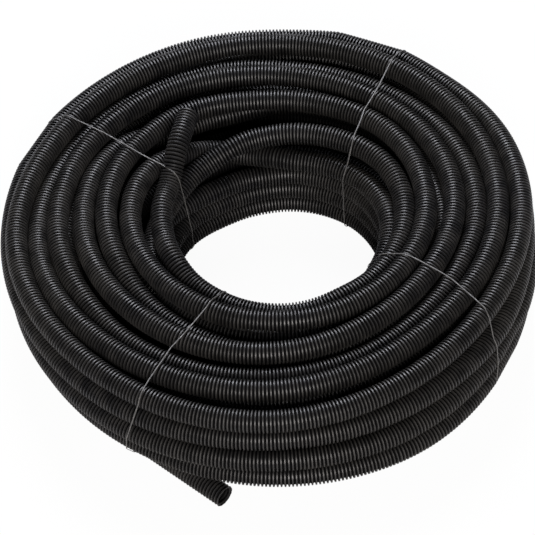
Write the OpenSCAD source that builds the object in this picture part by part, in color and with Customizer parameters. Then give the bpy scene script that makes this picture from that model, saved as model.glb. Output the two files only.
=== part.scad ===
// A coil of corrugated conduit: one long ringed plastic tube, wound flat in rows
// and columns, held by four thin ties, with its two cut ends free.
// The coil lies on the floor (z = 0) with its axis on Z. Seen from above, the
// tube runs anticlockwise from the inner end, in the top row, to the outer end,
// in the bottom row, which is short of the rows above it.

/* [Conduit] */
// Outside diameter over the ribs
tube_od = 25; // [16:0.5:40]
// Clear bore through the valleys of the ribs
tube_bore = 18.6; // [10:0.1:19.4]
// Thickness of the corrugated wall
tube_wall = 0.7; // [0.4:0.1:1.2]
// Distance from one rib to the next
rib_pitch = 4; // [3:0.1:6]
// Flat width on the top of a rib
rib_land = 1.3; // [0.8:0.1:1.5]
// Sloping width on each side of a rib
rib_slope = 0.65; // [0.3:0.05:0.7]

/* [Coil] */
// Diameter of the hole through the middle of the coil
coil_hole = 210; // [160:1:400]
// Turns side by side, from the hole to the outside
columns = 7; // [5:1:9]
// Turns that the bottom row has fewer than the rows above it
bottom_short = 1; // [1:1:2]
// Turns on top of each other
rows = 5; // [3:1:7]
// Gap between two turns side by side
side_gap = 4; // [3.5:0.1:8]
// Gap between two turns on top of each other
row_gap = 0.4; // [0.3:0.1:2]

/* [Free ends] */
// Open straight length of the outer end
outer_end = 108; // [60:2:112]
// Straight run of the outer end below the rows above it, before its open length
outer_run = 47; // [20:1:60]
// Direction from the middle of the coil to the start of the outer end, in degrees
outer_end_at = 257; // [230:1:270]
// Straight length of the inner end, past its climb onto the next turn
inner_end = 24; // [20:2:60]
// Bend radius where the inner end climbs out of its row
climb_radius = 75; // [75:1:90]
// Direction from the middle of the coil to the start of the inner end, in degrees
inner_end_at = 192; // [188:1:230]

/* [Ties] */
// Width of a tie
tie_w = 2.6; // [1.5:0.1:8]
// Thickness of a tie
tie_t = 1.1; // [0.6:0.1:2]
// Gap between a tie and the ribs it holds
tie_slack = 0.3; // [0.3:0.1:1]
// Direction from the middle of the coil to the tie on the right, in degrees
tie_at_right = 1; // [-20:1:20]
// Direction to the tie at the back, in degrees
tie_at_back = 80; // [50:1:100]
// Direction to the tie on the left, which also holds the inner end down, in degrees
tie_at_left = 172; // [165:1:182]
// Direction to the tie in front, just before the outer end, in degrees
tie_at_front = 268; // [230:1:268]

/* [Hidden] */
$fn = 96;
full_turn = 360;

tube_r = tube_od / 2;
valley_r = tube_bore / 2 + tube_wall;
column_pitch = tube_od + side_gap;
row_pitch = tube_od + row_gap;
// The coil stands on the ties that pass below it.
lift = tie_t + tie_slack;

// Radius of a column's turns and height of a row's turns, both counted from 1.
function column_r(c) = coil_hole / 2 + tube_r + (c - 1) * column_pitch;
function row_z(r) = lift + tube_r + (r - 1) * row_pitch;
inner_r = column_r(1);
outer_r = column_r(columns);
bottom_z = row_z(1);
top_z = row_z(rows);

// The outer end is the bottom row's outermost turn.
end_column = columns - bottom_short;
outer_end_r = column_r(end_column);
// Both end turns stay open over the angle in which the free end draws clear of them.
function clear_angle(r) = acos(r / (r + tube_od)) + asin(tube_od / r) / 2;

// The inner end climbs by one row in two equal bends.
climb = row_pitch;
climb_angle = acos(1 - climb / (2 * climb_radius));
climb_run = 2 * climb_radius * sin(climb_angle);

// The straight stretch reaches this far into the bend that it continues.
seam_lap = 0.2;

// Distance along the inner end at which it passes over an angle, and the height
// and the slope of its climb at a distance x.
function inner_end_x(angle) = inner_r * tan(inner_end_at - angle);
function climbed(x) =
    x <= 0 ? 0
    : x < climb_run / 2 ? climb_radius - sqrt(pow(climb_radius, 2) - pow(x, 2))
    : x < climb_run ? climb - climbed(climb_run - x)
    : climb;
function climb_slope(x) =
    x <= 0 || x >= climb_run ? 0 : asin(min(x, climb_run - x) / climb_radius);

// A tie's rounded corner has this many flats.
corner_steps = 10;

module at_turn(c, r) translate([column_r(c), row_z(r)]) children();

// The turned section of the coil, without the two turns that end in free ends.
module bundle_section() {
    for (c = [1 : columns], r = [1 : rows])
        if (!(c >= end_column && r == 1) && !(c == 1 && r == rows))
            at_turn(c, r) circle(tube_r);
    polygon([
        [inner_r, bottom_z],
        [column_r(end_column - 1), bottom_z],
        [outer_end_r, row_z(2)],
        [outer_r, row_z(2)],
        [outer_r, top_z],
        [column_r(2), top_z],
        [inner_r, row_z(rows - 1)],
    ]);
}

// One turn on its own, filled back to the turns that it lies against.
module end_turn(c, r, start, open) {
    away = c == 1 ? 1 : -1;
    down = r == 1 ? 1 : -1;
    rotate([0, 0, start])
        rotate_extrude(angle = full_turn - open) {
            at_turn(c, r) circle(tube_r);
            polygon([
                [column_r(c), row_z(r)],
                [column_r(c + away), row_z(r)],
                [column_r(c + away), row_z(r + down)],
                [column_r(c), row_z(r + down)],
            ]);
        }
}

module conduit_coil() color([0.13, 0.13, 0.14]) {
    rotate_extrude() bundle_section();
    end_turn(end_column, 1, outer_end_at + clear_angle(outer_end_r), clear_angle(outer_end_r));
    end_turn(1, rows, inner_end_at, clear_angle(inner_r));
}

// A corrugated tube along +X, turned from its half-section: from a cut in one valley
// along the outer wave to a cut on the last rib, then along the inner wave on the
// way back. A closed plain length may lead up to it.
module corrugation(length, plain = 0) {
    ribs = floor(length / rib_pitch);
    lead = length - ribs * rib_pitch;
    function wave(i, low, high, grow) =
        let (x = lead + i * rib_pitch, w = rib_land / 2 + grow, mid = x + rib_pitch / 2)
        [[mid - w - rib_slope, low], [mid - w, high], [mid + w, high], [mid + w + rib_slope, low]];
    outside = [for (i = [0 : ribs - 1]) each wave(i, valley_r, tube_r, 0)];
    inside = [for (i = [0 : ribs - 1])
        each wave(i, valley_r - tube_wall, tube_r - tube_wall, -tube_wall / 3)];
    rotate([0, 90, 0]) rotate_extrude()
        polygon([for (p = concat(
            plain > 0 ? [[0, 0], [-plain, 0], [-plain, tube_r], [0, tube_r]] : [],
            [[0, valley_r]], outside, [[length, valley_r]],
            [[length, valley_r - tube_wall]], [for (i = [len(inside) - 1 : -1 : 0]) inside[i]],
            [[0, valley_r - tube_wall]])) [p[1], p[0]]]);
}

module conduit_outer_end() color([0.16, 0.15, 0.15])
    rotate([0, 0, outer_end_at]) translate([outer_end_r, outer_run, bottom_z]) rotate([0, 0, 90])
        corrugation(outer_end, outer_run);

// One bend of the climb: it starts at the origin along +X and curves down.
module climb_bend() translate([0, 0, -climb_radius]) rotate([0, -90, -90])
    rotate_extrude(angle = climb_angle) translate([climb_radius, 0]) circle(tube_r);

module conduit_inner_end() color([0.16, 0.15, 0.15])
    rotate([0, 0, inner_end_at]) translate([inner_r, 0, top_z]) rotate([0, 0, -90]) {
        translate([climb_run / 2, 0, climb / 2]) rotate([0, -climb_angle, 0]) {
            climb_bend();
            rotate([0, 180, 0]) climb_bend();
        }
        translate([climb_run - seam_lap, 0, climb]) corrugation(inner_end + seam_lap);
    }

// Direction that faces out of a loop's edge, for a loop that runs anticlockwise.
function facing(from, to) = atan2(to[1] - from[1], to[0] - from[0]) - 90;

// Outline of a taut loop at a distance r from its corner points, rounded at each.
function taut_loop(points, r) = [
    for (i = [0 : len(points) - 1])
        let (here = points[i],
             before = points[(i + len(points) - 1) % len(points)],
             after = points[(i + 1) % len(points)],
             start = facing(before, here),
             swing = (facing(here, after) - start + full_turn) % full_turn)
        for (k = [0 : corner_steps])
            let (direction = start + swing * k / corner_steps)
            here + r * [cos(direction), sin(direction)]
];

module tie(angle) {
    x = inner_end_x(angle);
    over = x <= 0 ? [[inner_r, top_z]] : [
        [norm([inner_r, x]), top_z + climbed(x) + tube_r * (1 / cos(climb_slope(x)) - 1)],
        [inner_r, row_z(rows - 1)]
    ];
    // Past its start the outer end draws away from the middle of the coil.
    drawn = angle - outer_end_at;
    below = drawn > 0 && drawn < clear_angle(outer_end_r)
        ? outer_end_r / cos(drawn) + tube_r * (1 / cos(drawn) - 1)
        : outer_end_r;
    corners = concat([[inner_r, bottom_z], [below, bottom_z], [outer_r, row_z(2)], [outer_r, top_z]],
                     abs(angle - inner_end_at) < clear_angle(inner_r) ? over : [[inner_r, top_z]]);
    color([0.55, 0.55, 0.55]) rotate([90, 0, angle]) translate([0, 0, -tie_w / 2])
        linear_extrude(tie_w) difference() {
            polygon(taut_loop(corners, tube_r + tie_slack + tie_t));
            polygon(taut_loop(corners, tube_r + tie_slack));
        }
}

conduit_coil();
conduit_outer_end();
conduit_inner_end();
tie(tie_at_right);  // tie_right
tie(tie_at_back);  // tie_back
tie(tie_at_left);  // tie_left
tie(tie_at_front);  // tie_front
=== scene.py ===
import math

import bmesh
import bpy
import numpy as np
from mathutils import Matrix, Vector


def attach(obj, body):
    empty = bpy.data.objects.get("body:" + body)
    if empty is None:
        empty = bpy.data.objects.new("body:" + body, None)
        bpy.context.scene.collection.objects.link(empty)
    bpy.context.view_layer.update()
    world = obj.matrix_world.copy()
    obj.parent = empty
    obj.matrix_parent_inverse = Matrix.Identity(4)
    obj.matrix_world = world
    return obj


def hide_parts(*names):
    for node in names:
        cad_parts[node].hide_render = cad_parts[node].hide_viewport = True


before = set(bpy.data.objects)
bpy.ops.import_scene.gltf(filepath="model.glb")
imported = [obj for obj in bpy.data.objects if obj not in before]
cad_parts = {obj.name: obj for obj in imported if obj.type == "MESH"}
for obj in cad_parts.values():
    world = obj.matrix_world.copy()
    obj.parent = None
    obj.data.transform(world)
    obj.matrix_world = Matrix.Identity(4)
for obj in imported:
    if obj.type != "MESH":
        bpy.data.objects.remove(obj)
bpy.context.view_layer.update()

scene = bpy.context.scene
scene.view_settings.view_transform = "Standard"


# Camera: the coil lies on the floor and is seen from above and in front, with a
# long lens, tilted a little clockwise.
camera_at = Vector((0.934, -1.617, 2.405))
looks_at = Vector((0.0, 0.0, 0.0575))
roll = 0.075
aim_down = 1 / 156
lens_mm, sensor_mm = 178.45, 36

forward = (looks_at - camera_at).normalized()
level_right = forward.cross(Vector((0, 0, 1))).normalized()
level_up = level_right.cross(forward)
right = math.cos(roll) * level_right - math.sin(roll) * level_up
up = math.sin(roll) * level_right + math.cos(roll) * level_up
forward = (forward - aim_down * up).normalized()
up = right.cross(forward)
camera_data = bpy.data.cameras.new("camera")
camera_data.lens = lens_mm
camera_data.sensor_width = sensor_mm
camera = bpy.data.objects.new("camera", camera_data)
camera_axes = Matrix((right, up, -forward)).transposed().to_4x4()
camera.matrix_world = Matrix.Translation(camera_at) @ camera_axes
scene.collection.objects.link(camera)
scene.camera = camera


# The conduit is one corrugated polyethylene tube of 25 mm, extruded and then
# wound by machine in rows, from the inner end on top to the outer end below.
# Its turns are laid by a loop, and then pushed clear of their neighbours.
MM = 0.001
tube_d, tube_r = 25.0, 12.5
row_pitch = 25.4
bottom_z = 13.9
top_z = bottom_z + 4 * row_pitch
columns, bottom_columns = 7, 6
inner_r, inner_end_at = 117.5, 192
outer_r, outer_end_turn = 262.5, 11057

# Top turns: angle along the winding in degrees, radius and height in mm.
top_turns = [
    (192, 117.5, 115.5), (200, 116.5, 115.5), (210, 115.0, 113.8), (220, 114.5, 112.0),
    (230, 114.0, 110.5), (245, 114.0, 105.0), (270, 113.0, 98.0), (285, 118.0, 98.8),
    (300, 123.0, 100.0), (315, 128.8, 101.2), (330, 133.0, 101.2), (350, 142.5, 100.0),
    (360, 145.0, 100.0), (375, 151.2, 102.5), (390, 158.2, 106.2), (405, 157.5, 111.2),
    (420, 153.8, 115.5), (435, 143.0, 115.5), (450, 133.5, 115.5), (465, 125.8, 115.5),
    (480, 121.2, 111.2), (495, 118.8, 105.0), (510, 116.5, 100.0), (525, 116.5, 95.0),
    (540, 117.0, 90.0), (560, 121.2, 90.0), (585, 132.5, 88.8), (610, 140.0, 88.8),
    (630, 141.2, 87.5), (650, 145.0, 83.8), (670, 143.8, 77.5), (690, 137.5, 75.0),
    (710, 132.5, 77.5), (730, 136.2, 82.5), (750, 141.5, 86.2), (770, 135.5, 89.0),
    (790, 125.0, 89.5), (805, 115.5, 89.2), (818, 109.0, 88.8), (830, 108.5, 87.0),
    (842, 115.5, 85.0), (852, 124.5, 85.5), (862, 133.2, 90.0), (873, 140.0, 98.8),
    (887, 147.5, 110.0), (900, 153.2, 115.5), (915, 152.5, 115.5), (930, 150.0, 115.5),
    (950, 143.2, 115.5), (965, 140.0, 115.5), (990, 139.5, 115.5), (1020, 143.8, 115.5),
    (1035, 148.2, 115.5), (1050, 154.5, 115.5), (1070, 164.0, 115.5), (1090, 172.5, 115.5),
    (1110, 180.0, 115.5), (1140, 186.8, 115.5), (1155, 185.8, 115.5), (1170, 180.0, 115.5),
    (1185, 176.2, 115.5), (1200, 173.2, 115.5), (1215, 178.8, 115.5), (1230, 186.0, 115.5),
    (1260, 184.5, 115.5), (1275, 181.2, 115.5), (1290, 176.2, 115.5), (1300, 172.5, 115.5),
    (1310, 170.8, 112.5), (1320, 170.5, 105.0), (1340, 167.0, 99.5), (1360, 168.5, 96.2),
    (1378, 173.8, 93.8), (1410, 185.0, 91.2), (1440, 193.8, 91.2), (1470, 198.8, 91.2),
    (1515, 200.0, 91.2), (1560, 193.8, 91.2), (1590, 202.5, 92.5), (1610, 210.0, 97.5),
    (1620, 209.2, 102.5), (1630, 207.5, 107.5), (1650, 203.3, 112.5), (1660, 199.2, 115.5),
    (1670, 195.8, 115.5), (1680, 191.8, 115.5), (1690, 189.0, 115.5), (1710, 187.0, 115.5),
    (1740, 186.2, 115.5), (1770, 187.0, 115.5), (1790, 191.5, 115.5), (1800, 196.2, 115.5),
    (1810, 201.3, 115.5), (1820, 207.0, 115.5), (1830, 212.5, 115.5), (1850, 216.8, 115.5),
    (1875, 213.8, 115.5), (1905, 212.5, 115.5), (1920, 214.0, 115.5), (1950, 224.5, 115.5),
    (1980, 233.8, 115.5), (2010, 234.0, 115.5), (2020, 230.5, 115.5), (2030, 227.0, 111.2),
    (2040, 223.0, 105.0), (2050, 222.0, 101.2), (2070, 218.0, 100.0), (2100, 215.2, 97.5),
    (2130, 216.2, 97.5), (2150, 222.2, 98.8), (2160, 226.5, 100.0), (2170, 230.0, 100.0),
    (2180, 232.5, 101.2), (2190, 235.5, 102.5), (2210, 236.8, 103.8), (2235, 233.2, 100.0),
    (2265, 231.5, 98.0), (2280, 231.8, 97.5), (2295, 237.5, 96.2), (2320, 248.2, 96.2),
    (2347, 253.3, 96.8), (2360, 254.5, 99.2), (2370, 254.5, 102.5), (2380, 252.5, 107.5),
    (2390, 250.0, 112.5), (2400, 245.5, 115.5), (2410, 241.2, 115.5), (2430, 236.2, 115.5),
    (2460, 236.2, 115.5), (2490, 235.0, 115.5), (2510, 239.0, 115.5), (2520, 245.0, 115.5),
    (2530, 251.3, 115.5), (2540, 256.8, 115.5), (2550, 261.2, 115.5), (2570, 267.0, 115.5),
    (2595, 265.5, 115.5), (2640, 262.5, 115.5), (2670, 263.8, 115.5), (2690, 265.8, 115.5),
    (2710, 272.0, 115.5), (2730, 277.5, 115.5), (2750, 275.8, 115.5), (2770, 270.0, 115.5),
    (2790, 271.5, 115.5), (2820, 276.5, 115.5), (2850, 272.5, 115.5), (2870, 273.0, 115.5),
    (2880, 275.0, 115.5), (2890, 278.8, 115.5), (2900, 283.2, 115.5), (2910, 287.0, 115.5),
    (2930, 286.2, 110.5), (2940, 286.8, 105.0), (2955, 286.8, 98.8), (2980, 290.0, 92.5),
    (3000, 293.0, 90.0),
]
top_end = 3000

# Radius of the turns round the hole, and of each row's outermost turn, by
# direction from +X.
table_step = 30
hole_r = [139, 140, 130, 115, 103.5, 101, 113, 118, 120, 122, 128, 134]
wall_r = {
    1: [291.5] * 10 + [300, 303],
    2: [290.5, 285, 288, 288, 287, 285, 282, 277, 275, 281, 294, 302],
    3: [289, 286, 288, 290, 290, 289, 287.5, 279, 283, 286, 290, 296],
    4: [286, 288, 293, 296, 296, 294, 293, 286, 280, 279, 280, 284],
}

# The winding below the top turns: in along row 4, out along row 3, in along row 2
# and out along the short row 1. Each step is an angle, a column and a row.
row_3_from, row_2_from, row_1_from = 4170, 6580, 8646.4
row_3_step, row_step = 344.3, 344.4
steps = [(3330, 5.8, 4), (3691, 4.8, 4)]
steps += [(row_3_from + row_3_step * n, n + 1, 3) for n in range(columns)]
steps += [(row_2_from + row_step * n, columns - n, 2) for n in range(columns)]
steps += [(row_1_from + row_step * n, n, 1) for n in range(1, bottom_columns + 1)]
# A step is spread over this angle, and the one down into row 3 over a wider one.
spread_deg, wide_spread_deg = 50, 90
stations = [(top_end, columns, 4)]
for angle, column, row in steps:
    spread = wide_spread_deg if angle == row_3_from else spread_deg
    stations.append((angle - spread / 2,) + stations[-1][1:])
    stations.append((angle + spread / 2, column, row))
stations.append((outer_end_turn, bottom_columns, 1))


def along(angle, table, column):
    table = np.array(table, float)
    return np.interp(angle, table[:, 0], table[:, column])


def by_direction(radii, angle):
    directions = np.arange(len(radii) + 1) * table_step
    return np.interp(np.mod(angle, 360), directions, radii + radii[:1])


def smooth(values, width_deg):
    """A mean over neighbouring angles, weighted by a bell curve of that width."""
    reach = int(3 * width_deg / step_deg)
    k = np.exp(-0.5 * (np.arange(-reach, reach + 1) * step_deg / width_deg) ** 2)
    return np.convolve(np.pad(values, reach, mode="edge"), k / k.sum(), mode="valid")


step_deg, laid_width = 3, 6
turn_deg = np.arange(inner_end_at, outer_end_turn + 1, step_deg).astype(float)
turn_deg = np.append(turn_deg, outer_end_turn)
column, row = along(turn_deg, stations, 1), along(turn_deg, stations, 2)
walls = np.array([by_direction(wall_r[r], turn_deg) for r in (1, 2, 3, 4)])
below = np.clip(np.floor(row), 1, 3).astype(int)
at = np.arange(len(turn_deg))
wall = walls[below - 1, at] * (1 - (row - below)) + walls[below, at] * (row - below)
hole = by_direction(hole_r, turn_deg)
column_r = hole + (column - 1) / (columns - 1) * (wall - hole)
row_z = bottom_z + (row - 1) * row_pitch
radius = np.where(turn_deg > top_end, column_r, along(turn_deg, top_turns, 1))
height = np.where(turn_deg > top_end, row_z, along(turn_deg, top_turns, 2))
laid_r, laid_z = smooth(radius, laid_width), smooth(height, laid_width)

# The inner end climbs over the turns beside it, so they keep clear of it too.
climb, climb_radius, climb_run = row_pitch, 75.0, 83.5
inner_open = 24
inner_length = climb_run + inner_open


def climbed(x):
    first = climb_radius - np.sqrt(np.maximum(climb_radius**2 - x**2, 0))
    second = climb - climb_radius + np.sqrt(np.maximum(climb_radius**2 - (climb_run - x) ** 2, 0))
    return np.where(x < climb_run / 2, first, np.where(x < climb_run, second, climb))


end_x = np.linspace(inner_length, 0, 60)
end_deg = inner_end_at - np.degrees(np.arctan(end_x / inner_r))
end_r, end_z = np.hypot(inner_r, end_x), top_z + climbed(end_x)

per_turn = 360 // step_deg
turns = -(-len(turn_deg) // per_turn)


def by_turn(values, fill):
    """The values with one row for each turn, so that a column is one direction."""
    table = np.full(turns * per_turn, fill)
    table[: len(values)] = values
    return table.reshape(turns, per_turn)


# Turns out of sight give way fully and move freely. Turns that show give way
# little, and least on top. Two of the top turns dip out of sight for a stretch.
sunk_from = 3020
dips = [(540, 740), (1370, 1602)]
hidden = turn_deg > sunk_from
for first, last in dips:
    hidden |= (turn_deg > first) & (turn_deg < last)
raised_z = 112
raised_yields, lower_yields = 0.1, 0.35
shown_yields = np.where(laid_z > raised_z, raised_yields, lower_yields)
yields = by_turn(np.where(hidden, 1.0, shown_yields), 0.0)
here = np.mod(turn_deg, 360)
over_r, over_z = np.interp(here, end_deg, end_r), np.interp(here, end_deg, end_z)
past_start = 230
under_end = (here > end_deg.min()) & (here < end_deg.max()) & (turn_deg > past_start)

# Each round pushes apart the turns that are closer than this, and then keeps the
# turns that show near their place and all of them inside the coil.
clear, far = tube_d * 1.006, 9 * tube_d
rounds, even_rounds, even_width, push_share = 260, 245, 5, 0.8
hidden_depth = 22
out_by, down_by, up_by = 6, 6, 3
hole_slack, outermost_r = 0.5, 302
radius, height = laid_r.copy(), laid_z.copy()
for n in range(rounds):
    r, z = by_turn(radius, np.nan), by_turn(height, np.nan)
    dr, dz = r[:, None] - r[None], z[:, None] - z[None]
    apart = np.hypot(dr, dz)
    apart[np.arange(turns), np.arange(turns)] = np.nan
    apart = np.nan_to_num(apart, nan=far)
    share = yields[:, None] / (yields[:, None] + yields[None] + 1e-9)
    push = np.maximum(0, clear - apart) / np.maximum(apart, 1e-3) * share
    push_r = np.nan_to_num(push * dr).sum(1).reshape(-1)[: len(turn_deg)]
    push_z = np.nan_to_num(push * dz).sum(1).reshape(-1)[: len(turn_deg)]
    dr, dz = radius - over_r, height - over_z
    apart = np.hypot(dr, dz)
    push = np.where(under_end, np.maximum(0, clear - apart), 0) / apart
    push_r, push_z = push_r + push * dr, push_z + push * dz
    if n < even_rounds:
        push_r, push_z = smooth(push_r, even_width), smooth(push_z, even_width)
    radius, height = radius + push_share * push_r, height + push_share * push_z
    height = np.clip(height, bottom_z, np.where(hidden, top_z - hidden_depth, top_z))
    height = np.where(hidden, height, np.clip(height, laid_z - down_by, laid_z + up_by))
    radius = np.where(hidden, radius, np.clip(radius, laid_r - out_by, laid_r + out_by))
    radius = np.clip(radius, np.minimum(hole - hole_slack, laid_r), outermost_r)


def eased(share):
    share = np.clip(share, 0, 1)
    return share * share * (3 - 2 * share)


def straight(from_r, from_deg, ahead, z):
    """Points that leave a turn along its tangent."""
    side = math.radians(from_deg)
    x = from_r * math.cos(side) - ahead * math.sin(side)
    y = from_r * math.sin(side) + ahead * math.cos(side)
    return np.stack([x, y, z], 1)


# The whole route in mm: inner end, turns at every degree, straight outer end. The
# first and the last turn are led into the places where the two ends leave them.
last_width, inner_lead, outer_lead = 4.5, 12, 30
fine_deg = np.arange(inner_end_at, outer_end_turn + 1, 1.0)
fine_r = np.interp(fine_deg, turn_deg, smooth(radius, last_width))
fine_z = np.interp(fine_deg, turn_deg, smooth(height, last_width))
from_inner = eased((fine_deg - inner_end_at) / inner_lead)
to_outer = eased((outer_end_turn - fine_deg) / outer_lead)
fine_r = inner_r + (fine_r - inner_r) * from_inner
fine_z = top_z + (fine_z - top_z) * from_inner
fine_r = outer_r + (fine_r - outer_r) * to_outer
fine_z = bottom_z + (fine_z - bottom_z) * to_outer
a = np.radians(fine_deg)
widest = 303.0 - tube_r
turned_x = np.clip(fine_r * np.cos(a), -widest, widest)
turned_y = np.clip(fine_r * np.sin(a), -widest, widest)
turned = np.stack([turned_x, turned_y, fine_z], 1)
inner_end = straight(inner_r, inner_end_at, -end_x[:-1], end_z[:-1])
outer_run, outer_open = 47.0, 108.0
outer_x = np.linspace(0, outer_run + outer_open, 40)[1:]
outer_end = straight(outer_r, outer_end_turn, outer_x, np.full(len(outer_x), bottom_z))
route = np.concatenate([inner_end, turned, outer_end])
start, finish = 0.0, 99999.0
route_deg = np.concatenate([
    np.full(len(inner_end), start), fine_deg, np.full(len(outer_end), finish)
])


def maths(tree, operation, *values):
    """A maths node. Each of its inputs is a number or another node's output."""
    node = tree.nodes.new("ShaderNodeMath")
    node.operation = operation
    for socket, value in zip(node.inputs, values):
        if isinstance(value, (int, float)):
            socket.default_value = value
        else:
            tree.links.new(value, socket)
    return node.outputs[0]


rings_per_rib = 4


def corrugation_tree():
    """Sweeps a ring along an edge chain, four rings to a rib."""
    tree = bpy.data.node_groups.new("corrugated tube", "GeometryNodeTree")
    put = tree.interface.new_socket
    put("Geometry", in_out="INPUT", socket_type="NodeSocketGeometry")
    for name, kind in (
        ("Rings", "NodeSocketInt"), ("First ring", "NodeSocketInt"), ("Sides", "NodeSocketInt"),
        ("Rib radius", "NodeSocketFloat"), ("Valley radius", "NodeSocketFloat"),
        ("Rib shift", "NodeSocketFloat"), ("Valley shift", "NodeSocketFloat"),
        ("Closed ends", "NodeSocketBool"), ("Material", "NodeSocketMaterial"),
    ):
        put(name, in_out="INPUT", socket_type=kind)
    put("Geometry", in_out="OUTPUT", socket_type="NodeSocketGeometry")
    new, link = tree.nodes.new, tree.links.new
    given, result = new("NodeGroupInput"), new("NodeGroupOutput")

    curve = new("GeometryNodeMeshToCurve")
    link(given.outputs["Geometry"], curve.inputs["Mesh"])
    rings = new("GeometryNodeResampleCurve")
    rings.mode = "COUNT"
    link(curve.outputs["Curve"], rings.inputs["Curve"])
    link(given.outputs["Rings"], rings.inputs["Count"])

    # place is 0 and 3 in the valley, 1 and 2 on the rib
    index = new("GeometryNodeInputIndex")
    count = maths(tree, "ADD", index.outputs[0], given.outputs["First ring"])
    place = maths(tree, "FLOORED_MODULO", count, rings_per_rib)
    centred = maths(tree, "SUBTRACT", place, (rings_per_rib - 1) / 2)
    on_rib = maths(tree, "LESS_THAN", maths(tree, "ABSOLUTE", centred), 1.0)

    def chosen(low, high):
        mix = new("ShaderNodeMix")
        mix.data_type = "FLOAT"
        link(on_rib, mix.inputs[0])
        link(given.outputs[low], mix.inputs[2])
        link(given.outputs[high], mix.inputs[3])
        return mix.outputs[0]

    # each ring slides along the tube, so that the ribs get flat lands and sloping sides
    shift = chosen("Valley shift", "Rib shift")
    slide = maths(tree, "MULTIPLY", shift, maths(tree, "SIGN", centred))
    tangent = new("GeometryNodeInputTangent")
    offset = new("ShaderNodeVectorMath")
    offset.operation = "SCALE"
    link(tangent.outputs[0], offset.inputs[0])
    link(slide, offset.inputs["Scale"])
    moved = new("GeometryNodeSetPosition")
    link(rings.outputs["Curve"], moved.inputs["Geometry"])
    link(offset.outputs[0], moved.inputs["Offset"])
    upright = new("GeometryNodeSetCurveNormal")
    upright.mode = "Z_UP"
    link(moved.outputs["Geometry"], upright.inputs["Curve"])
    thick = new("GeometryNodeSetCurveRadius")
    ring_radius = chosen("Valley radius", "Rib radius")
    link(upright.outputs["Curve"], thick.inputs["Curve"])
    link(ring_radius, thick.inputs["Radius"])
    marked = new("GeometryNodeStoreNamedAttribute")
    marked.data_type = "FLOAT"
    marked.inputs["Name"].default_value = "rib"
    link(thick.outputs["Curve"], marked.inputs["Geometry"])
    link(on_rib, marked.inputs["Value"])
    numbered = new("GeometryNodeStoreNamedAttribute")
    numbered.data_type = "INT"
    numbered.inputs["Name"].default_value = "ring"
    link(marked.outputs["Geometry"], numbered.inputs["Geometry"])
    link(index.outputs[0], numbered.inputs["Value"])

    ring = new("GeometryNodeCurvePrimitiveCircle")
    ring.inputs["Radius"].default_value = 1.0
    link(given.outputs["Sides"], ring.inputs["Resolution"])
    swept = new("GeometryNodeCurveToMesh")
    link(numbered.outputs["Geometry"], swept.inputs["Curve"])
    link(ring.outputs["Curve"], swept.inputs["Profile Curve"])
    link(given.outputs["Closed ends"], swept.inputs["Fill Caps"])
    if "Scale" in swept.inputs:
        link(ring_radius, swept.inputs["Scale"])
    rounded = new("GeometryNodeSetShadeSmooth")
    link(swept.outputs["Mesh"], rounded.inputs["Geometry"])

    # the edges that run round the tube stay crisp, so that each rib has a flat land
    ends = new("GeometryNodeInputMeshEdgeVertices")
    ring_number = new("GeometryNodeInputNamedAttribute")
    ring_number.data_type = "INT"
    ring_number.inputs["Name"].default_value = "ring"
    same = new("FunctionNodeCompare")
    same.data_type = "INT"
    same.operation = "EQUAL"
    for n in (0, 1):
        at_end = new("GeometryNodeFieldAtIndex")
        at_end.data_type = "INT"
        at_end.domain = "POINT"
        link(ends.outputs[n], at_end.inputs["Index"])
        link(ring_number.outputs[0], at_end.inputs["Value"])
        link(at_end.outputs[0], same.inputs[2 + n])
    crisp = new("GeometryNodeStoreNamedAttribute")
    crisp.data_type = "BOOLEAN"
    crisp.domain = "EDGE"
    crisp.inputs["Name"].default_value = "sharp_edge"
    link(rounded.outputs["Geometry"], crisp.inputs["Geometry"])
    link(same.outputs[0], crisp.inputs["Value"])
    real = new("GeometryNodeRealizeInstances")
    link(crisp.outputs["Geometry"], real.inputs["Geometry"])
    painted = new("GeometryNodeSetMaterial")
    link(real.outputs["Geometry"], painted.inputs["Geometry"])
    link(given.outputs["Material"], painted.inputs["Material"])
    link(painted.outputs["Geometry"], result.inputs["Geometry"])
    return tree


corrugated = corrugation_tree()
rib_pitch, rib_land, rib_slope = 4.0, 1.3, 0.65
valley_r, tube_wall = 10.0, 0.7
ring_pitch = rib_pitch / rings_per_rib


def swept_tube(points, pitch, rib_r, low_r, sides, first, last, closed):
    """The mesh of a tube along points in mm. first and last count rings past a valley."""
    length = np.linalg.norm(np.diff(points, axis=0), axis=1).sum()
    ribs = max(1, round(length / pitch - (last - first) / rings_per_rib))
    rings = rings_per_rib * ribs + (last - first) + 1
    edges = [(i, i + 1) for i in range(len(points) - 1)]
    chain = bpy.data.meshes.new("chain")
    chain.from_pydata([tuple(p * MM) for p in points], edges, [])
    holder = bpy.data.objects.new("chain", chain)
    scene.collection.objects.link(holder)
    sweep = holder.modifiers.new("corrugated tube", "NODES")
    sweep.node_group = corrugated
    scale = MM * pitch / rib_pitch
    values = {
        "Rings": rings, "First ring": first, "Sides": sides,
        "Rib radius": rib_r * MM, "Valley radius": low_r * MM,
        "Rib shift": (rib_land / 2 - ring_pitch / 2) * scale,
        "Valley shift": (rib_land / 2 + rib_slope - 1.5 * ring_pitch) * scale,
        "Closed ends": closed, "Material": conduit_plastic,
    }
    for item in corrugated.interface.items_tree:
        if item.in_out == "INPUT" and item.name in values:
            sweep[item.identifier] = values[item.name]
    graph = bpy.context.evaluated_depsgraph_get()
    made = bpy.data.meshes.new_from_object(holder.evaluated_get(graph))
    holder.modifiers.remove(sweep)
    bpy.data.objects.remove(holder)
    return made


def principled(name):
    material = bpy.data.materials.new(name)
    material.use_nodes = True
    return material, material.node_tree, material.node_tree.nodes["Principled BSDF"]


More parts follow.
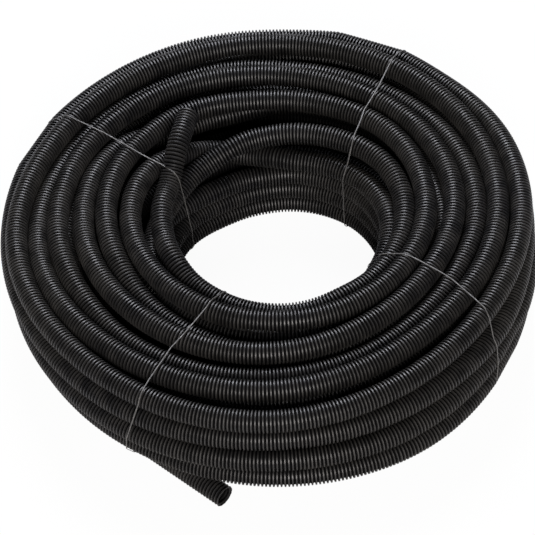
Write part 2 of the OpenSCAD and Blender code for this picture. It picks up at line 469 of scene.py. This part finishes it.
def noise(tree, scale, detail, low, high):
    """A noise in the object's metres, stretched from low to high."""
    place = tree.nodes.new("ShaderNodeTexCoord")
    cloud = tree.nodes.new("ShaderNodeTexNoise")
    cloud.inputs["Scale"].default_value = scale
    cloud.inputs["Detail"].default_value = detail
    tree.links.new(place.outputs["Object"], cloud.inputs["Vector"])
    spread = tree.nodes.new("ShaderNodeMapRange")
    spread.inputs["From Min"].default_value = 0.35
    spread.inputs["From Max"].default_value = 0.65
    spread.inputs["To Min"].default_value = low
    spread.inputs["To Max"].default_value = high
    tree.links.new(cloud.outputs[0], spread.inputs["Value"])
    return spread.outputs[0]


def mixed_colour(tree, share, first, second):
    mix = tree.nodes.new("ShaderNodeMix")
    mix.data_type = "RGBA"
    tree.links.new(share, mix.inputs[0])
    for socket, colour in ((mix.inputs[6], first), (mix.inputs[7], second)):
        if isinstance(colour, tuple):
            socket.default_value = colour + (1,)
        else:
            tree.links.new(colour, socket)
    return mix.outputs[2]


def bumped(tree, shader, height, distance):
    bump = tree.nodes.new("ShaderNodeBump")
    bump.inputs["Strength"].default_value = 0.5
    bump.inputs["Distance"].default_value = distance
    tree.links.new(height, bump.inputs["Height"])
    tree.links.new(bump.outputs[0], shader.inputs["Normal"])


# The ribs' tops are greyer, a painted sheen that is stronger in patches, and glossier.
# The valleys are painted near black as shade, and dull. Dust lies in soft patches.
valley_shade_black = (0.0020, 0.0019, 0.0021)
clean_black, dusty_black = (0.007, 0.007, 0.008), (0.013, 0.0125, 0.0115)
painted_sheen_grey = (0.045, 0.042, 0.038)
conduit_plastic, tree, shader = principled("black polyethylene")
rib = tree.nodes.new("ShaderNodeAttribute")
rib.attribute_name = "rib"
dusty = mixed_colour(tree, noise(tree, 6, 2, 0, 1), clean_black, dusty_black)
dust_and_sheen = mixed_colour(tree, noise(tree, 60, 4, 0, 0.35), dusty, painted_sheen_grey)
# skin colour: painted shade in the valleys, and dust with a painted sheen on the rib tops
skin_colour = mixed_colour(tree, rib.outputs["Fac"], valley_shade_black, dust_and_sheen)
tree.links.new(skin_colour, shader.inputs["Base Color"])
dull, rib_gloss = noise(tree, 60, 4, 0.66, 0.80), -0.26
rough = maths(tree, "MULTIPLY_ADD", rib.outputs["Fac"], rib_gloss, dull)
tree.links.new(rough, shader.inputs["Roughness"])
shine = tree.nodes.new("ShaderNodeMapRange")
shine.inputs["To Min"].default_value = 0.04
shine.inputs["To Max"].default_value = 0.5
tree.links.new(rib.outputs["Fac"], shine.inputs["Value"])
tree.links.new(shine.outputs[0], shader.inputs["Specular IOR Level"])
bumped(tree, shader, noise(tree, 1400, 3, 0, 1), 0.00003)


def open_mouth(skin, lining, mouth):
    """Joins a tube's skin and lining at the mouth, and closes their far ends."""
    mouth_reach = 0.016
    work = bmesh.new()
    work.from_mesh(skin)
    inside = bmesh.new()
    inside.from_mesh(lining)
    bmesh.ops.reverse_faces(inside, faces=inside.faces)
    flipped = bpy.data.meshes.new("lining")
    inside.to_mesh(flipped)
    inside.free()
    work.from_mesh(flipped)
    rims, ends = [], []
    for edge in work.edges:
        if edge.is_boundary:
            middle = (edge.verts[0].co + edge.verts[1].co) / 2
            (rims if (middle - mouth).length < mouth_reach else ends).append(edge)
    bmesh.ops.bridge_loops(work, edges=rims)
    bmesh.ops.holes_fill(work, edges=ends, sides=0)
    bmesh.ops.recalc_face_normals(work, faces=work.faces)
    for face in work.faces:
        face.smooth = True
    work.to_mesh(skin)
    work.free()
    return skin


def distance_along(points):
    return np.concatenate([[0], np.cumsum(np.linalg.norm(np.diff(points, axis=0), axis=1))])


# Where each kind of stretch starts and ends in a rib, as rings past a valley.
past_valley = {None: (0, 0), "first": (1, 4), "last": (0, 2)}
plain_r, plain_pitch = 12.0, 40.0
lining_depth = 100


def conduit_piece(name, first_deg, last_deg, sides, ribbed=True, mouth=None, sheen_share=1.0):
    """A stretch of the conduit. The last argument is how much of the ribs' painted sheen it gets;
    less of it paints shade on the stretch.
    """
    points = route[(route_deg >= first_deg) & (route_deg <= last_deg)]
    ribbed_sizes, plain_sizes = (tube_r, valley_r, rib_pitch), (plain_r, plain_r, plain_pitch)
    rib_r, low_r, pitch = ribbed_sizes if ribbed else plain_sizes
    first, last = past_valley[mouth]
    mesh = swept_tube(points, pitch, rib_r, low_r, sides, first, last, mouth is None)
    if mouth:
        arc = distance_along(points)
        near = arc <= lining_depth if mouth == "first" else arc >= arc[-1] - lining_depth
        rib_r, low_r = rib_r - tube_wall, low_r - tube_wall
        lining = swept_tube(points[near], pitch, rib_r, low_r, sides, first, last, False)
        mesh = open_mouth(mesh, lining, Vector(points[0 if mouth == "first" else -1] * MM))
    # the rib mask is scaled down on hidden rows, which dims their painted sheen and gloss into
    # painted shade
    rib = mesh.attributes["rib"].data
    on_rib = np.empty(len(rib), np.float32)
    rib.foreach_get("value", on_rib)
    rib.foreach_set("value", on_rib * sheen_share)
    piece = bpy.data.objects.new(name, mesh)
    scene.collection.objects.link(piece)
    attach(piece, "root")
    return piece


# The stretches in order, each from one angle along the winding to the next. Turns
# that are hidden have fewer sides, and the inner rows get little of the ribs' painted sheen,
# which paints them in shade.
inner_turns = conduit_piece("conduit_inner_turns", start, 1490, 16, mouth="first")
conduit_piece("conduit_top_middle", 1490, 2280, 16)
outer_turns = conduit_piece("conduit_top_outside", 2280, 3330, 16)
conduit_piece("conduit_row_4", 3330, 4100, 12)
conduit_piece("conduit_hole_upper", 4100, 4520, 14)
conduit_piece("conduit_row_3", 4520, 6200, 8, sheen_share=0.2)
conduit_piece("conduit_wall_turns", 6200, 6950, 16)
conduit_piece("conduit_row_2", 6950, 8600, 8, ribbed=False, sheen_share=0.2)
conduit_piece("conduit_hole_lower", 8600, 9360, 14)
bottom_turns = conduit_piece("conduit_bottom_row", 9360, finish, 12, mouth="last")
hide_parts("conduit_inner_end")
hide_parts("conduit_outer_end")
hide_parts("conduit_coil")


# Four ties hold the turns together: a thin flat strap of grey polypropylene each,
# drawn tight round the whole bundle, with its two ends lapped and welded.
strap_w, strap_t, strap_bevel = 1.4, 0.6, 0.2
strap_gap, strap_step = 0.1, 2.0
lap_length, lap_lift = 16, 0.95
# Over the top, from the hole outwards: radius in mm and direction in degrees. Then
# the direction below at the hole and at the outside, and the lap's place as a share
# of the loop, which runs from the hole out below and back over the top.
tie_lines = {
    "tie_right": (
        [(140, 364), (175, 363), (225, 360), (246, 358), (276, 355.5), (296, 353)],
        (364, 351), 0.52,
    ),
    "tie_back": (
        [(112, 66), (132, 69.5), (151, 73.75), (184, 78.5), (220, 80.5), (252, 82.3), (290, 84)],
        (66, 83), 0.05,
    ),
    "tie_left": (
        [(108, 178.8), (134, 176.5), (165, 175.3), (184, 174.3), (220, 173.3), (290, 173)],
        (179, 172), 0.80,
    ),
    "tie_front": (
        [(112, 271.5), (144, 271.2), (210, 268.2), (257, 268.2), (285, 268.6)],
        (271, 264), 0.05,
    ),
}
light_grey, dark_grey = (0.11, 0.107, 0.10), (0.055, 0.055, 0.055)
tie_grey, tree, shader = principled("grey polypropylene")
strap_colour = mixed_colour(tree, noise(tree, 350, 4, 0, 1), dark_grey, light_grey)
tree.links.new(strap_colour, shader.inputs["Base Color"])
tree.links.new(noise(tree, 200, 3, 0.4, 0.6), shader.inputs["Roughness"])
bumped(tree, shader, noise(tree, 1800, 2, 0, 1), 0.0001)


def crossings(line):
    """Radius and height of every turn where a tie's line crosses it."""
    r = np.hypot(route[:, 0], route[:, 1])
    off = np.degrees(np.arctan2(route[:, 1], route[:, 0])) - np.interp(r, *np.transpose(line))
    off = (off + 180) % 360 - 180
    # a wide change is where the angles wrap round, on the far side of the coil
    narrow = np.abs(off[:-1] - off[1:]) < 20
    i = np.nonzero((off[:-1] * off[1:] <= 0) & narrow)[0]
    share = off[i] / (off[i] - off[i + 1])
    z = route[:, 2]
    return np.stack([r[i] + (r[i + 1] - r[i]) * share, z[i] + (z[i + 1] - z[i]) * share], 1)


def taut_outline(centres, reach):
    """The convex outline round circles, from the hole out below and back over the top."""
    swing = np.radians(np.arange(0, 360, 6))
    points = sorted({
        (round(r + reach * math.cos(a), 3), round(z + reach * math.sin(a), 3))
        for r, z in centres for a in swing
    })

    def half(chain):
        kept = []
        for p in chain:
            while len(kept) > 1:
                (ax, az), (bx, bz) = kept[-2], kept[-1]
                if (bx - ax) * (p[1] - az) - (bz - az) * (p[0] - ax) < 0:
                    break
                kept.pop()
            kept.append(p)
        return kept

    return np.array(half(points)[:-1] + half(points[::-1])[:-1])


def evenly(points, spacing):
    """Points at an even spacing along a closed outline."""
    ring = np.concatenate([points, points[:1]])
    arc = distance_along(ring)
    at = np.linspace(0, arc[-1], int(arc[-1] / spacing), endpoint=False)
    return np.stack([np.interp(at, arc, ring[:, k]) for k in range(points.shape[1])], 1)


def strap_rings(middle, out):
    """Eight points round the strap at each point of its middle line."""
    along = np.roll(middle, -1, 0) - np.roll(middle, 1, 0)
    along /= np.linalg.norm(along, axis=1)[:, None]
    out = out - (out * along).sum(1)[:, None] * along
    out /= np.linalg.norm(out, axis=1)[:, None]
    across = np.cross(along, out)
    w, t, edge = strap_w / 2, strap_t / 2, strap_bevel
    shape = [
        (w - edge, -t), (w, edge - t), (w, t - edge), (w - edge, t),
        (edge - w, t), (-w, t - edge), (-w, edge - t), (edge - w, -t),
    ]
    return np.stack([middle + across * x + out * y for x, y in shape], 1)


def strap_mesh(rings, closed):
    count, sides = rings.shape[:2]
    faces = []
    for i in range(count if closed else count - 1):
        a, b = i * sides, (i + 1) % count * sides
        faces += [(a + k, a + (k + 1) % sides, b + (k + 1) % sides, b + k) for k in range(sides)]
    if not closed:
        faces += [tuple(range(sides))[::-1], tuple(range((count - 1) * sides, count * sides))]
    return rings.reshape(-1, 3), faces


# A strap leaves its direction below, and reaches its direction on top, this far in
# height from its loop's lowest and highest points.
level_for = 8
for name, (line, directions_below, lap_at) in tie_lines.items():
    outline = taut_outline(crossings(line), tube_r + strap_gap + strap_t / 2)
    outline = evenly(outline, strap_step)
    r, z = outline.T
    line_r, line_deg = np.transpose(line)
    over = np.interp(r, line_r, line_deg)
    under = np.interp(r, [line_r[0], line_r[-1]], directions_below)
    high, low = z.max() - level_for, z.min() + level_for
    rise = np.clip((z - low) / (high - low), 0, 1)
    direction = np.radians(under + (over - under) * rise)
    middle = np.stack([r * np.cos(direction), r * np.sin(direction), z], 1)
    run = np.roll(outline, -1, 0) - np.roll(outline, 1, 0)
    out = np.stack([-run[:, 1] * np.cos(direction), -run[:, 1] * np.sin(direction), run[:, 0]], 1)
    rings = strap_rings(middle, out)
    loop, loop_faces = strap_mesh(rings, True)
    first = int(lap_at * len(r))
    lap = np.arange(first, first + int(lap_length / strap_step)) % len(r)
    lift = out[lap] / np.linalg.norm(out[lap], axis=1)[:, None] * strap_t * lap_lift
    lap_points, lap_faces = strap_mesh(rings[lap] + lift[:, None], False)
    faces = loop_faces + [tuple(k + len(loop) for k in face) for face in lap_faces]
    mesh = bpy.data.meshes.new(name)
    mesh.from_pydata([tuple(p * MM) for p in np.concatenate([loop, lap_points])], [], faces)
    work = bmesh.new()
    work.from_mesh(mesh)
    bmesh.ops.recalc_face_normals(work, faces=work.faces)
    work.to_mesh(mesh)
    work.free()
    mesh.materials.append(tie_grey)
    strap = bpy.data.objects.new(name.replace("tie", "strap"), mesh)
    scene.collection.objects.link(strap)
    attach(strap, "root")
    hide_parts(name)


# Floor: a plain pale studio floor of matt paint, which looks nearly white to the
# camera and keeps the coil's shadow.
floor_reach, seen_white = 8, 0.955
corners = [(-1, -1), (1, -1), (1, 1), (-1, 1)]
floor_mesh = bpy.data.meshes.new("floor")
floor_mesh.from_pydata(
    [(x * floor_reach, y * floor_reach, 0) for x, y in corners], [], [(0, 1, 2, 3)]
)
floor = bpy.data.objects.new("floor", floor_mesh)
scene.collection.objects.link(floor)
paper, tree, shader = principled("pale floor")
shader.inputs["Base Color"].default_value = (0.85, 0.85, 0.85, 1)
shader.inputs["Roughness"].default_value = 0.9
floor_mesh.materials.append(paper)
glow = tree.nodes.new("ShaderNodeEmission")
glow.inputs["Strength"].default_value = 1.0
seen = tree.nodes.new("ShaderNodeLightPath")
glow_share = maths(tree, "MULTIPLY", seen.outputs["Is Camera Ray"], seen_white)
mixed = tree.nodes.new("ShaderNodeMixShader")
tree.links.new(glow_share, mixed.inputs[0])
tree.links.new(shader.outputs[0], mixed.inputs[1])
tree.links.new(glow.outputs[0], mixed.inputs[2])
tree.links.new(mixed.outputs[0], tree.nodes["Material Output"].inputs[0])


# Light: a dim, slightly blue room and two soft round lamps, a cool one behind the
# coil and a warm one in front of it.
world = bpy.data.worlds.new("studio")
scene.world = world
world.use_nodes = True
room = world.node_tree.nodes["Background"]
room.inputs["Color"].default_value = (0.9, 0.92, 1.0, 1)
room.inputs["Strength"].default_value = 0.12


def lamp(name, at, size, watts, colour):
    data = bpy.data.lights.new(name, "AREA")
    data.shape = "DISK"
    data.size = size
    data.energy = watts
    data.color = colour
    light = bpy.data.objects.new(name, data)
    light.location = at
    light.rotation_mode = "QUATERNION"
    light.rotation_quaternion = (Vector((0, 0, 0.05)) - Vector(at)).to_track_quat("-Z", "Y")
    scene.collection.objects.link(light)


lamp("back", (-1.0, 1.74, 2.23), 1.5, 98, (0.92, 0.93, 1.0))
lamp("front", (1.45, -2.51, 1.96), 1.5, 122, (1.0, 0.95, 0.92))
